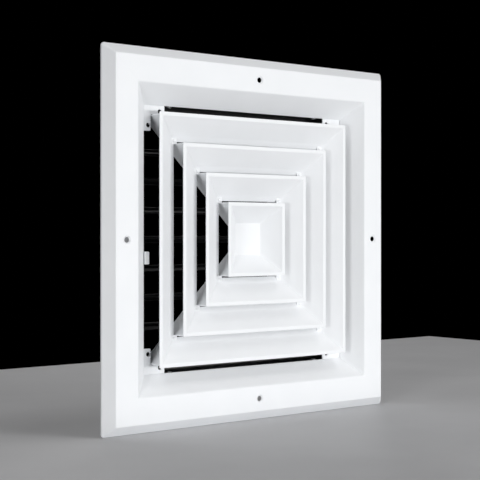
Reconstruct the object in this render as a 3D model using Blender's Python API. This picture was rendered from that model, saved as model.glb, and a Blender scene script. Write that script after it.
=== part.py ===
"""Square four-way ceiling air diffuser with an opposed-blade damper, built from its separate pieces.

Units are metres. The face looks along -Y, +Z is up on the face and +Y runs into the duct. The origin is
the centre of the plane that bears on the ceiling, which is the back of the flange. Every ring of the
diffuser is square about the Y axis, so a bar's section is written as (r, y): r is its distance from that
axis and y its place along it. On a ceiling the whole part is turned about X until the face looks down.
"""
import math

import bmesh
import bpy
from mathutils import Matrix, Vector

MM = 0.001
GAP = 0.3 * MM                      # clearance between pieces that touch
MITRE_GAP = 0.15 * MM               # each mitred end stops this far short of the 45 degree plane

# --- flange and throat -------------------------------------------------------------------------
OVERALL = 450.0 * MM                # outside of the flange
FLANGE_DEPTH = 14.5 * MM            # ceiling plane to face
FACE_HALF = 213.2 * MM              # where the flat face turns into the bevel
MOUTH_HALF = 182.5 * MM             # where the flat face turns into the throat
THROAT_HALF = 159.0 * MM            # back edge of the 45 degree throat
WALL = 1.6 * MM                     # extrusion thickness
FACE_WALL = 2.0 * MM                # thicker at the countersunk screw holes
EDGE_WALL_HEIGHT = 2.0 * MM         # plain wall between the ceiling and the bevel
SEAT_LIP = 8.0 * MM                 # width of the return that bears on the ceiling
CORNER_RADIUS = 4.0 * MM            # outside corners of the flange
NECK_INNER = 161.6 * MM
NECK_OUTER = 163.4 * MM
NECK_LENGTH = 43.5 * MM             # ceiling plane to the end of the neck

FACE_Y = -FLANGE_DEPTH
THROAT_BACK_Y = FACE_Y + MOUTH_HALF - THROAT_HALF
THROAT_LIP = 0.8 * MM               # square edge at the back of the throat
OUTER_HALF = OVERALL / 2

FACE_HOLE_OFFSET = (FACE_HALF + MOUTH_HALF) / 2
FACE_HOLE_RADIUS = 3.3 * MM         # clearance for an M6 screw
COUNTERSINK_RADIUS = 4.9 * MM

# --- corner brackets ---------------------------------------------------------------------------
BRACKET_THICKNESS = 1.5 * MM
BRACKET_INNER = 148.5 * MM
BRACKET_LEG_END = 128.5 * MM
BRACKET_HOLE_RADIUS = 2.75 * MM
BRACKET_HOLE_NEAR = 135.2 * MM      # the two holes of a bracket lie at (near, far) and (far, near)
BRACKET_HOLE_FAR = 152.0 * MM
BRACKET_FRONT_Y = THROAT_BACK_Y + THROAT_LIP + GAP

# --- core: three square louvre rings, a dished centre and four diagonal spokes ------------------
RING_HALVES = {"outer": 150.2 * MM, "middle": 115.3 * MM, "inner": 80.8 * MM}
RING_RECESS = {"outer": 3.4 * MM, "middle": 4.0 * MM, "inner": 4.7 * MM}    # rim behind the face
CENTRE_HALF = 45.8 * MM
CENTRE_RECESS = 5.4 * MM
RIM_WIDTH = 4.4 * MM
LOUVRE_WALL = 1.3 * MM
SLOPE_RUN = 21.4 * MM               # inward run of a louvre's slope
SLOPE_DROP = 14.3 * MM              # and its depth
LIP_RUN = 7.9 * MM                  # flatter lip at the back of each louvre
LIP_DROP = 4.3 * MM
CENTRE_FLAT_HALF = 20.2 * MM
CENTRE_DEPTH = 19.0 * MM            # dish depth behind its rim
CENTRE_WALL = 1.2 * MM
CENTRE_BACK_Y = FACE_Y + CENTRE_RECESS + CENTRE_DEPTH + CENTRE_WALL

SPOKE_THICKNESS = 1.5 * MM
SPOKE_BACK_Y = FACE_Y + 42.0 * MM
SPOKE_END = 147.4 * MM              # where a spoke ends in front of the clip
SPOKE_CLIP_END = 145.9 * MM         # and inside it
SPOKE_INSET = 0.9 * MM              # each tooth of a spoke ends this far inside its ring's rim
HUB_FRONT_Y = CENTRE_BACK_Y + GAP
HUB_RADIUS = 9.0 * MM
HUB_BORE_RADIUS = 2.8 * MM
HUB_SCREW_RADIUS = 2.5 * MM
CLIP_THICKNESS = 0.6 * MM
CLIP_LEG = 6.0 * MM
CLIP_FRONT_Y = 17.0 * MM
CLIP_BACK_Y = 25.5 * MM

# --- opposed-blade damper ----------------------------------------------------------------------
DAMPER_INNER = 159.5 * MM
DAMPER_WALL = 1.1 * MM
DAMPER_FRONT_Y = BRACKET_FRONT_Y + BRACKET_THICKNESS + GAP
DAMPER_BACK_Y = FACE_Y + 88.0 * MM
DAMPER_LIP = 6.0 * MM
DAMPER_SCREW_X = 117.0 * MM
DAMPER_SCREW_Y = FACE_Y + 31.0 * MM
DAMPER_SCREW_RADIUS = 1.8 * MM
DAMPER_SCREW_HEAD_RADIUS = 3.6 * MM
DAMPER_SCREW_HEAD = 1.3 * MM
DAMPER_SCREW_LENGTH = 7.0 * MM

BLADE_COUNT = 9
BLADE_PITCH = 35.3 * MM
BLADE_CHORD_HALF = 17.5 * MM
BLADE_ROOT_HALF_THICKNESS = 1.2 * MM
BLADE_TIP_HALF_THICKNESS = 0.6 * MM
BLADE_BOSS_RADIUS = 4.2 * MM
BLADE_BORE_RADIUS = 2.8 * MM
BLADE_LEFT = -153.8 * MM
BLADE_RIGHT = 158.6 * MM
BLADE_REST_TILT = math.radians(10.0)    # rest is 10 degrees from fully open
SHAFT_Y = FACE_Y + 65.0 * MM
SHAFT_RADIUS = 2.5 * MM
SHAFT_HOLE_RADIUS = 2.8 * MM
SHAFT_END = 162.4 * MM

CRANK_RADIUS = 12.0 * MM            # shaft to crank pin
CRANK_OUTER_X = -156.1 * MM
CRANK_THICKNESS = 1.5 * MM
CRANK_HALF_WIDTH = 3.4 * MM
PIN_RADIUS = 1.5 * MM
PIN_END_X = -158.7 * MM
PIN_REST_ANGLE = math.radians(30.0)     # crank arms hang this far below the shaft line at rest
PIN_SWING = math.radians(40.0)          # and swing this far below and above it

LINK_OUTER_X = -157.9 * MM
LINK_THICKNESS = 1.2 * MM
LINK_HALF_WIDTH = 16.0 * MM
LINK_TOP = 144.5 * MM
LINK_BOTTOM = -156.5 * MM
LINK_TRAVEL_DOWN = 2.0 * MM
LINK_TRAVEL_UP = 13.9 * MM
SLOT_CLEARANCE = 0.6 * MM

LEVER_Z = -21.5 * MM                # middle of the tab at rest
LEVER_HEIGHT = 15.0 * MM
LEVER_TAB_OUTER_X = -160.0 * MM      # the tab reaches just over the throat's back edge
LEVER_TAB_INNER_X = -153.4 * MM
LEVER_TAB_Y = FACE_Y + 20.0 * MM
LEVER_TAB_THICKNESS = 1.5 * MM
LEVER_NECK_OUTER_X = -158.7 * MM     # neck that passes the throat's back edge
LEVER_NECK_INNER_X = -157.5 * MM
LEVER_OUTER_X = -159.2 * MM          # arm that lies against the linkage bar's outer side
LEVER_INNER_X = -158.2 * MM
LEVER_JOG_Y = FACE_Y + 26.6 * MM     # where the neck steps over to the arm
LEVER_BACK_Y = 43.0 * MM

SIDES = {"top": 0, "right": 1, "bottom": 2, "left": 3}      # quarter turns about +Y from the top
CORNERS = {"top_left": (-1, 1), "top_right": (1, 1), "bottom_left": (-1, -1), "bottom_right": (1, -1)}


# --- scene and materials -----------------------------------------------------------------------
def clear_scene():
    for obj in list(bpy.data.objects):
        bpy.data.objects.remove(obj, do_unlink=True)


def make_material(name, colour, roughness, metallic):
    material = bpy.data.materials.new(name)
    material.use_nodes = True
    shader = material.node_tree.nodes["Principled BSDF"]
    shader.inputs["Base Color"].default_value = (*colour, 1.0)
    shader.inputs["Roughness"].default_value = roughness
    shader.inputs["Metallic"].default_value = metallic
    return material


def make_materials():
    return {
        "white": make_material("white_powder_coat", (0.86, 0.87, 0.88), 0.42, 0.0),
        "black": make_material("black_coated_steel", (0.012, 0.012, 0.013), 0.5, 0.0),
        "steel": make_material("zinc_plated_steel", (0.62, 0.63, 0.65), 0.35, 1.0),
        "spring": make_material("spring_steel", (0.5, 0.5, 0.52), 0.3, 1.0),
        "lever": make_material("white_nylon", (0.82, 0.83, 0.84), 0.5, 0.0),
    }


# --- mesh helpers ------------------------------------------------------------------------------
def object_from_bmesh(name, bm, material=None):
    """Turn a finished bmesh into an object with outward normals."""
    bmesh.ops.recalc_face_normals(bm, faces=bm.faces)
    mesh = bpy.data.meshes.new(name)
    bm.to_mesh(mesh)
    bm.free()
    if material is not None:
        mesh.materials.append(material)
    obj = bpy.data.objects.new(name, mesh)
    bpy.context.scene.collection.objects.link(obj)
    return obj


def prism(bm, outline, along):
    """Extrude a closed outline of 3-D points by the vector along."""
    near = [bm.verts.new(point) for point in outline]
    far = [bm.verts.new(Vector(point) + Vector(along)) for point in outline]
    bm.faces.new(near)
    bm.faces.new(list(reversed(far)))
    for i in range(len(near)):
        j = (i + 1) % len(near)
        bm.faces.new((near[i], near[j], far[j], far[i]))


def turned(bm, outline, axis_point, axis, segments=24):
    """Turn an outline of (distance along axis, radius) points about an axis through axis_point."""
    axis = Vector(axis).normalized()
    side = axis.orthogonal().normalized()
    other = axis.cross(side)
    rings = []
    for step in range(segments):
        angle = 2 * math.pi * step / segments
        direction = side * math.cos(angle) + other * math.sin(angle)
        rings.append([bm.verts.new(Vector(axis_point) + axis * a + direction * r) for a, r in outline])
    for step in range(segments):
        this, following = rings[step], rings[(step + 1) % segments]
        for i in range(len(outline) - 1):
            bm.faces.new((this[i], following[i], following[i + 1], this[i + 1]))
    bm.faces.new([ring[0] for ring in rings])
    bm.faces.new([ring[-1] for ring in reversed(rings)])


def cylinder(bm, start, end, radius, segments=24):
    start, end = Vector(start), Vector(end)
    turned(bm, [(0, radius), ((end - start).length, radius)], start, end - start, segments)


def shade_round(obj, angle=35.0):
    obj.data.shade_smooth()
    obj.data.set_sharp_from_angle(angle=math.radians(angle))


def hide_cutter(obj):
    obj.hide_render = True
    obj.display_type = "WIRE"
    return obj


def cut(obj, cutter, operation="DIFFERENCE"):
    modifier = obj.modifiers.new(cutter.name, "BOOLEAN")
    modifier.operation = operation
    modifier.solver = "EXACT"
    modifier.object = cutter


def baked_mesh(obj, name):
    """Return the mesh of obj with its modifiers applied, and remove obj."""
    graph = bpy.context.evaluated_depsgraph_get()
    mesh = bpy.data.meshes.new_from_object(obj.evaluated_get(graph))
    mesh.name = name
    bpy.data.objects.remove(obj, do_unlink=True)
    return mesh


def mitred_bar(name, section, side, material):
    """One side of a square ring: the (r, y) section runs between two 45 degree ends."""
    bm = bmesh.new()
    ends = []
    for sign in (-1, 1):
        ends.append([bm.verts.new((sign * (r - MITRE_GAP * math.sqrt(2)), y, r)) for r, y in section])
    left, right = ends
    bm.faces.new(left)
    bm.faces.new(list(reversed(right)))
    for i in range(len(section)):
        j = (i + 1) % len(section)
        bm.faces.new((left[i], left[j], right[j], right[i]))
    bm.transform(Matrix.Rotation(SIDES[side] * math.pi / 2, 4, "Y"))
    return object_from_bmesh(name, bm, material)


def line_at(point, direction, r=None, y=None):
    """Where a section line meets a given r or y."""
    if r is not None:
        t = (r - point[0]) / direction[0]
    else:
        t = (y - point[1]) / direction[1]
    return point[0] + t * direction[0], point[1] + t * direction[1]


def crossing(point_a, direction_a, point_b, direction_b):
    """Where two section lines meet."""
    turn = direction_a[0] * direction_b[1] - direction_a[1] * direction_b[0]
    apart = (point_b[0] - point_a[0], point_b[1] - point_a[1])
    t = (apart[0] * direction_b[1] - apart[1] * direction_b[0]) / turn
    return point_a[0] + t * direction_a[0], point_a[1] + t * direction_a[1]


# --- the fixed frame ---------------------------------------------------------------------------
def frame_section():
    """Flange, bevel, face, 45 degree throat and neck as one extruded wall."""
    bevel = (OUTER_HALF - FACE_HALF, FLANGE_DEPTH - EDGE_WALL_HEIGHT)
    length = math.hypot(*bevel)
    bevel_inside = (FACE_HALF - WALL * bevel[1] / length, FACE_Y + WALL * bevel[0] / length)
    throat_inside = (MOUTH_HALF + WALL / math.sqrt(2), FACE_Y + WALL / math.sqrt(2))
    throat = (-1.0, 1.0)
    lip_back = THROAT_BACK_Y + THROAT_LIP
    return [
        (OUTER_HALF, 0.0),
        (OUTER_HALF, -EDGE_WALL_HEIGHT),
        (FACE_HALF, FACE_Y),
        (MOUTH_HALF, FACE_Y),
        (THROAT_HALF, THROAT_BACK_Y),
        (THROAT_HALF, lip_back),
        (NECK_INNER, lip_back),
        (NECK_INNER, NECK_LENGTH),
        (NECK_OUTER, NECK_LENGTH),
        line_at(throat_inside, throat, r=NECK_OUTER),
        line_at(throat_inside, throat, y=FACE_Y + FACE_WALL),
        line_at(bevel_inside, bevel, y=FACE_Y + FACE_WALL),
        line_at(bevel_inside, bevel, y=-WALL),
        (OUTER_HALF - SEAT_LIP, -WALL),
        (OUTER_HALF - SEAT_LIP, 0.0),
    ]


def corner_round_cutter(corner):
    """The sliver outside a rounded flange corner."""
    sx, sz = CORNERS[corner]
    centre = OUTER_HALF - CORNER_RADIUS
    beyond = OUTER_HALF + CORNER_RADIUS
    steps = 8
    outline = []
    for step in range(steps + 1):
        angle = math.pi / 2 * step / steps
        x = centre + CORNER_RADIUS * math.cos(angle)
        z = centre + CORNER_RADIUS * math.sin(angle)
        outline.append((x, z))
    outline += [(centre, beyond), (beyond, beyond), (beyond, centre)]
    bm = bmesh.new()
    prism(bm, [(sx * x, FACE_Y - CORNER_RADIUS, sz * z) for x, z in outline], (0, OVERALL / 10, 0))
    return hide_cutter(object_from_bmesh(f"cut_corner_{corner}", bm))


def face_hole_cutter(side):
    """Countersunk hole through the face, halfway between the bevel and the throat."""
    centre = Matrix.Rotation(SIDES[side] * math.pi / 2, 4, "Y") @ Vector((0, 0, FACE_HOLE_OFFSET))
    slope = COUNTERSINK_RADIUS - FACE_HOLE_RADIUS
    outline = [
        (FACE_Y - slope, COUNTERSINK_RADIUS + slope),
        (FACE_Y + slope, FACE_HOLE_RADIUS),
        (FACE_Y + 3 * FACE_WALL, FACE_HOLE_RADIUS),
    ]
    bm = bmesh.new()
    turned(bm, outline, (centre.x, 0, centre.z), (0, 1, 0), 32)
    return hide_cutter(object_from_bmesh(f"cut_face_hole_{side}", bm))


def damper_screw_hole_cutter(x, side):
    sign = 1 if side == "top" else -1
    bm = bmesh.new()
    start = (x, DAMPER_SCREW_Y, sign * (DAMPER_INNER - 3 * DAMPER_WALL))
    end = (x, DAMPER_SCREW_Y, sign * (NECK_OUTER + 3 * DAMPER_WALL))
    cylinder(bm, start, end, DAMPER_SCREW_RADIUS + GAP, 16)
    place = "left" if x < 0 else "right"
    return hide_cutter(object_from_bmesh(f"cut_damper_screw_{side}_{place}", bm))


def make_frame(materials):
    """Four mitred bars, rounded at the outside corners."""
    section = frame_section()
    corner_cutters = {corner: corner_round_cutter(corner) for corner in CORNERS}
    bars = {}
    for side in SIDES:
        bar = mitred_bar(f"frame_{side}", section, side, materials["white"])
        for corner, cutter in corner_cutters.items():
            if side in corner.split("_"):
                cut(bar, cutter)
        cut(bar, face_hole_cutter(side))
        bars[side] = bar
    return bars


def bracket_hole_cutter(corner):
    sx, sz = CORNERS[corner]
    bm = bmesh.new()
    for x, z in ((BRACKET_HOLE_NEAR, BRACKET_HOLE_FAR), (BRACKET_HOLE_FAR, BRACKET_HOLE_NEAR)):
        start = (sx * x, BRACKET_FRONT_Y - BRACKET_THICKNESS, sz * z)
        end = (sx * x, BRACKET_FRONT_Y + 2 * BRACKET_THICKNESS, sz * z)
        cylinder(bm, start, end, BRACKET_HOLE_RADIUS)
    return hide_cutter(object_from_bmesh(f"cut_bracket_{corner}", bm))


def make_corner_brackets(materials):
    """L-shaped plates held between the throat's back edge and the damper frame."""
    outer = NECK_INNER - GAP
    outline = [
        (BRACKET_LEG_END, BRACKET_INNER), (BRACKET_LEG_END, outer), (outer, outer),
        (outer, BRACKET_LEG_END), (BRACKET_INNER, BRACKET_LEG_END), (BRACKET_INNER, BRACKET_INNER),
    ]
    for corner, (sx, sz) in CORNERS.items():
        bm = bmesh.new()
        prism(bm, [(sx * x, BRACKET_FRONT_Y, sz * z) for x, z in outline], (0, BRACKET_THICKNESS, 0))
        bracket = object_from_bmesh(f"corner_bracket_{corner}", bm, materials["white"])
        cut(bracket, bracket_hole_cutter(corner))


# --- the removable core ------------------------------------------------------------------------
def louvre_section(half, rim_y):
    """Flat rim, slope and flatter back lip of one louvre bar, folded from one sheet."""
    rim_inside = half - RIM_WIDTH
    slope = (-SLOPE_RUN, SLOPE_DROP)
    lip = (-LIP_RUN, LIP_DROP)
    slope_length = math.hypot(*slope)
    lip_length = math.hypot(*lip)
    slope_end = (rim_inside - SLOPE_RUN, rim_y + SLOPE_DROP)
    lip_end = (slope_end[0] - LIP_RUN, slope_end[1] + LIP_DROP)
    slope_across = LOUVRE_WALL * SLOPE_DROP / slope_length
    slope_behind = (rim_inside + slope_across, rim_y + LOUVRE_WALL * SLOPE_RUN / slope_length)
    lip_across = LOUVRE_WALL * LIP_DROP / lip_length
    lip_behind = (lip_end[0] + lip_across, lip_end[1] + LOUVRE_WALL * LIP_RUN / lip_length)
    return [
        (half, rim_y),
        (rim_inside, rim_y),
        slope_end,
        lip_end,
        lip_behind,
        crossing(lip_behind, lip, slope_behind, slope),
        line_at(slope_behind, slope, y=rim_y + LOUVRE_WALL),
        (half, rim_y + LOUVRE_WALL),
    ]


def make_louvres(materials):
    for ring, half in RING_HALVES.items():
        section = louvre_section(half, FACE_Y + RING_RECESS[ring])
        for side in SIDES:
            mitred_bar(f"louvre_{ring}_{side}", section, side, materials["white"])


def centre_back():
    """Back of the dished centre, from its rim to its flat bottom."""
    rim_back_y = FACE_Y + CENTRE_RECESS + CENTRE_WALL
    rim_inside = CENTRE_HALF - RIM_WIDTH
    return [
        (CENTRE_HALF, rim_back_y),
        (rim_inside + CENTRE_WALL / 2, rim_back_y),
        (CENTRE_FLAT_HALF + CENTRE_WALL / 2, CENTRE_BACK_Y),
    ]


def make_centre_cone(materials):
    """Dished square centre, pressed from one sheet."""
    rim_y = FACE_Y + CENTRE_RECESS
    rim_inside = CENTRE_HALF - RIM_WIDTH
    front = [(CENTRE_HALF, rim_y), (rim_inside, rim_y), (CENTRE_FLAT_HALF, rim_y + CENTRE_DEPTH)]
    back = centre_back()
    bm = bmesh.new()
    rings = []
    for r, y in list(reversed(front)) + back:
        rings.append([bm.verts.new((x * r, y, z * r)) for x, z in ((-1, -1), (1, -1), (1, 1), (-1, 1))])
    for this, following in zip(rings, rings[1:]):
        for i in range(4):
            j = (i + 1) % 4
            bm.faces.new((this[i], this[j], following[j], following[i]))
    bm.faces.new(rings[0])
    bm.faces.new(rings[-1])
    return object_from_bmesh("centre_cone", bm, materials["white"])


def diagonal(corner):
    """Unit vector from the axis towards a corner, and the one across it."""
    sx, sz = CORNERS[corner]
    outward = Vector((sx, 0, sz)).normalized()
    return outward, outward.cross(Vector((0, 1, 0)))


def spoke_front():
    """Front edge of a spoke: a tooth rises behind each ring and follows its back, GAP away from it."""
    edge = [(HUB_RADIUS / math.sqrt(2) + GAP, HUB_FRONT_Y)]
    backs = [centre_back()]
    for ring in ("inner", "middle", "outer"):
        backs.append(louvre_section(RING_HALVES[ring], FACE_Y + RING_RECESS[ring])[:3:-1])
    for back in backs:
        if len(edge) > 1:
            edge.append((edge[-1][0], back[-1][1] + GAP))
        rim_end, *bends = back
        edge += [(r + GAP, y + GAP) for r, y in reversed(bends)]
        edge.append((rim_end[0] - SPOKE_INSET, rim_end[1] + GAP))
    edge[-1] = (SPOKE_END, edge[-1][1])
    return edge


def make_spokes(materials):
    """Toothed diagonal plates from the hub to the brackets, which carry the rings."""
    start = HUB_RADIUS / math.sqrt(2) + GAP
    side_view = spoke_front() + [
        (SPOKE_END, CLIP_FRONT_Y - GAP), (SPOKE_CLIP_END, CLIP_FRONT_Y - GAP),
        (SPOKE_CLIP_END, SPOKE_BACK_Y), (start, SPOKE_BACK_Y),
    ]
    for corner in CORNERS:
        outward, across = diagonal(corner)
        outline = []
        for r, y in side_view:
            outline.append(outward * r * math.sqrt(2) - across * SPOKE_THICKNESS / 2 + Vector((0, y, 0)))
        bm = bmesh.new()
        prism(bm, outline, across * SPOKE_THICKNESS)
        object_from_bmesh(f"spoke_{corner}", bm, materials["white"])


def make_core_clips(materials):
    """Spring-steel U clips over the spoke ends, which grip the corner brackets."""
    slot_half = SPOKE_THICKNESS / 2 + GAP
    outer_half = slot_half + CLIP_THICKNESS
    slot_end = SPOKE_CLIP_END * math.sqrt(2) + GAP
    for corner in CORNERS:
        outward, across = diagonal(corner)
        outline = [
            (slot_end - CLIP_LEG, outer_half), (slot_end + CLIP_THICKNESS, outer_half),
            (slot_end + CLIP_THICKNESS, -outer_half), (slot_end - CLIP_LEG, -outer_half),
            (slot_end - CLIP_LEG, -slot_half), (slot_end, -slot_half),
            (slot_end, slot_half), (slot_end - CLIP_LEG, slot_half),
        ]
        bm = bmesh.new()
        points = [outward * a + across * b + Vector((0, CLIP_FRONT_Y, 0)) for a, b in outline]
        prism(bm, points, (0, CLIP_BACK_Y - CLIP_FRONT_Y, 0))
        object_from_bmesh(f"core_clip_{corner}", bm, materials["spring"])


def make_hub(materials):
    """Turned hub that the spokes butt against, and the screw in its rear bore."""
    bm = bmesh.new()
    cylinder(bm, (0, HUB_FRONT_Y, 0), (0, SPOKE_BACK_Y, 0), HUB_RADIUS, 32)
    hub = object_from_bmesh("core_hub", bm, materials["white"])
    bore_bottom = HUB_FRONT_Y + 4 * MM
    bm = bmesh.new()
    cylinder(bm, (0, bore_bottom, 0), (0, SPOKE_BACK_Y + 2 * MM, 0), HUB_BORE_RADIUS)
    cut(hub, hide_cutter(object_from_bmesh("cut_hub_bore", bm)))
    shade_round(hub)
    head_front = SPOKE_BACK_Y + GAP
    head_radius = 1.8 * HUB_SCREW_RADIUS
    outline = [
        (bore_bottom + GAP, HUB_SCREW_RADIUS), (head_front, HUB_SCREW_RADIUS), (head_front, head_radius),
        (head_front + 1.4 * MM, head_radius), (head_front + 2.2 * MM, 0.6 * head_radius),
    ]
    bm = bmesh.new()
    turned(bm, outline, (0, 0, 0), (0, 1, 0))
    shade_round(object_from_bmesh("hub_screw", bm, materials["steel"]))


# --- the damper --------------------------------------------------------------------------------
def blade_heights():
    middle = (BLADE_COUNT - 1) / 2
    return [(k - middle) * BLADE_PITCH for k in range(BLADE_COUNT)]


def is_front_up(index):
    """Every second blade shuts with its front edge going up, and its neighbours the other way."""
    return (index - (BLADE_COUNT - 1) // 2) % 2 == 0


def shaft_hole_cutter():
    bm = bmesh.new()
    for z in blade_heights():
        for sign in (-1, 1):
            start = (sign * (DAMPER_INNER - 2 * DAMPER_WALL), SHAFT_Y, z)
            end = (sign * (DAMPER_INNER + 3 * DAMPER_WALL), SHAFT_Y, z)
            cylinder(bm, start, end, SHAFT_HOLE_RADIUS, 16)
    return hide_cutter(object_from_bmesh("cut_shaft_holes", bm))


def make_damper_frame(materials):
    """Folded steel frame that slides into the neck, with a stiffening lip at the back."""
    outer = DAMPER_INNER + DAMPER_WALL
    section = [
        (outer, DAMPER_FRONT_Y), (DAMPER_INNER, DAMPER_FRONT_Y),
        (DAMPER_INNER, DAMPER_BACK_Y - DAMPER_WALL),
        (DAMPER_INNER - DAMPER_LIP, DAMPER_BACK_Y - DAMPER_WALL),
        (DAMPER_INNER - DAMPER_LIP, DAMPER_BACK_Y), (outer, DAMPER_BACK_Y),
    ]
    walls = {}
    for side in SIDES:
        walls[side] = mitred_bar(f"damper_frame_{side}", section, side, materials["black"])
    cutter = shaft_hole_cutter()
    cut(walls["left"], cutter)
    cut(walls["right"], cutter)
    return walls


def make_damper_screws(materials, frame_bars, damper_walls):
    """Pan-head screws from inside the damper, through its frame and the neck."""
    seat = DAMPER_INNER - GAP
    outline = [
        (seat - DAMPER_SCREW_HEAD, 0.55 * DAMPER_SCREW_HEAD_RADIUS),
        (seat - 0.6 * DAMPER_SCREW_HEAD, DAMPER_SCREW_HEAD_RADIUS),
        (seat, DAMPER_SCREW_HEAD_RADIUS),
        (seat, DAMPER_SCREW_RADIUS),
        (seat + DAMPER_SCREW_LENGTH - DAMPER_SCREW_RADIUS, DAMPER_SCREW_RADIUS),
        (seat + DAMPER_SCREW_LENGTH, 0.3 * DAMPER_SCREW_RADIUS),
    ]
    for side, sign in (("top", 1), ("bottom", -1)):
        for place, x in (("left", -DAMPER_SCREW_X), ("right", DAMPER_SCREW_X)):
            cutter = damper_screw_hole_cutter(x, side)
            cut(frame_bars[side], cutter)
            cut(damper_walls[side], cutter)
            bm = bmesh.new()
            turned(bm, outline, (x, DAMPER_SCREW_Y, 0), (0, 0, sign), 16)
            shade_round(object_from_bmesh(f"damper_screw_{side}_{place}", bm, materials["steel"]))


def blade_mesh(materials):
    """Extruded blade: two thin wings on a bored boss, chord along Y."""
    joint_angle = math.asin(BLADE_ROOT_HALF_THICKNESS / BLADE_BOSS_RADIUS)
    arc_steps = 6
    half_outline = [(BLADE_CHORD_HALF, BLADE_TIP_HALF_THICKNESS)]
    for step in range(arc_steps + 1):
        angle = joint_angle + (math.pi - 2 * joint_angle) * step / arc_steps
        half_outline.append((BLADE_BOSS_RADIUS * math.cos(angle), BLADE_BOSS_RADIUS * math.sin(angle)))
    half_outline.append((-BLADE_CHORD_HALF, BLADE_TIP_HALF_THICKNESS))
    outline = half_outline + [(-y, -z) for y, z in half_outline]
    bm = bmesh.new()
    prism(bm, [(BLADE_LEFT, y, z) for y, z in outline], (BLADE_RIGHT - BLADE_LEFT, 0, 0))
    blade = object_from_bmesh("blade_blank", bm, materials["black"])
    bm = bmesh.new()
    cylinder(bm, (BLADE_LEFT - 5 * MM, 0, 0), (BLADE_RIGHT + 5 * MM, 0, 0), BLADE_BORE_RADIUS, 16)
    bore = hide_cutter(object_from_bmesh("cut_blade_bore", bm))
    cut(blade, bore)
    mesh = baked_mesh(blade, "blade")
    bpy.data.objects.remove(bore, do_unlink=True)
    return mesh


def crank_plate(bm):
    """Plate from the shaft to the crank pin, with both ends round, arm along -Y."""
    outline = []
    steps = 8
    for centre, start in ((0.0, -math.pi / 2), (-CRANK_RADIUS, math.pi / 2)):
        for step in range(steps + 1):
            angle = start + math.pi * step / steps
            y = centre + CRANK_HALF_WIDTH * math.cos(angle)
            outline.append((CRANK_OUTER_X, y, CRANK_HALF_WIDTH * math.sin(angle)))
    prism(bm, outline, (CRANK_THICKNESS, 0, 0))


def shaft_mesh(materials):
    """Steel shaft with its crank plate and pin welded on at the linkage end."""
    bm = bmesh.new()
    cylinder(bm, (-SHAFT_END, 0, 0), (SHAFT_END, 0, 0), SHAFT_RADIUS, 16)
    shaft = object_from_bmesh("shaft_blank", bm, materials["steel"])
    bm = bmesh.new()
    crank_plate(bm)
    plate = hide_cutter(object_from_bmesh("add_crank_plate", bm))
    bm = bmesh.new()
    inside_plate = CRANK_OUTER_X + CRANK_THICKNESS / 2
    cylinder(bm, (PIN_END_X, -CRANK_RADIUS, 0), (inside_plate, -CRANK_RADIUS, 0), PIN_RADIUS, 12)
    pin = hide_cutter(object_from_bmesh("add_crank_pin", bm))
    cut(shaft, plate, "UNION")
    cut(shaft, pin, "UNION")
    mesh = baked_mesh(shaft, "blade_shaft")
    for helper in (plate, pin):
        bpy.data.objects.remove(helper, do_unlink=True)
    return mesh


def make_blades(materials):
    """Nine blades, each on an empty at its hinge line with its cranked shaft beside it."""
    blade = blade_mesh(materials)
    shaft = shaft_mesh(materials)
    for index, z in enumerate(blade_heights()):
        number = index + 1
        hinge = bpy.data.objects.new(f"hinge_{number}", None)
        hinge.location = (0, SHAFT_Y, z)
        bpy.context.scene.collection.objects.link(hinge)
        if is_front_up(index):
            tilt, arm = -BLADE_REST_TILT, PIN_REST_ANGLE
        else:
            tilt, arm = BLADE_REST_TILT, math.pi - PIN_REST_ANGLE
        parts = ((f"blade_{number}", blade, tilt), (f"blade_shaft_{number}", shaft, arm))
        for name, mesh, angle in parts:
            obj = bpy.data.objects.new(name, mesh)
            bpy.context.scene.collection.objects.link(obj)
            obj.parent = hinge
            obj.rotation_euler = (angle, 0, 0)
        shade_round(bpy.data.objects[f"blade_{number}"])
        shade_round(bpy.data.objects[f"blade_shaft_{number}"])


def box(bm, low, high):
    outline = [(low[0], low[1], low[2]), (low[0], high[1], low[2]), (low[0], high[1], high[2]),
               (low[0], low[1], high[2])]
    prism(bm, outline, (high[0] - low[0], 0, 0))


def linkage_slot_cutters():
    """Upright slots that let the bar rise past the shafts, and level slots for the crank pins."""
    x_low, x_high = LINK_OUTER_X - LINK_THICKNESS, LINK_OUTER_X + 2 * LINK_THICKNESS
    shaft_half = SHAFT_RADIUS + GAP
    pin_drop = CRANK_RADIUS * math.sin(PIN_REST_ANGLE)
    pin_near = CRANK_RADIUS * math.cos(PIN_SWING) - PIN_RADIUS - GAP
    pin_far = CRANK_RADIUS + PIN_RADIUS + GAP
    pin_half = PIN_RADIUS + SLOT_CLEARANCE
    bm = bmesh.new()
    for index, z in enumerate(blade_heights()):
        low = z - LINK_TRAVEL_UP - shaft_half
        high = z + LINK_TRAVEL_DOWN + shaft_half
        box(bm, (x_low, SHAFT_Y - shaft_half, low), (x_high, SHAFT_Y + shaft_half, high))
        if is_front_up(index):
            y_low, y_high = SHAFT_Y - pin_far, SHAFT_Y - pin_near
        else:
            y_low, y_high = SHAFT_Y + pin_near, SHAFT_Y + pin_far
        box(bm, (x_low, y_low, z - pin_drop - pin_half), (x_high, y_high, z - pin_drop + pin_half))
    return hide_cutter(object_from_bmesh("cut_linkage_slots", bm))


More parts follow.
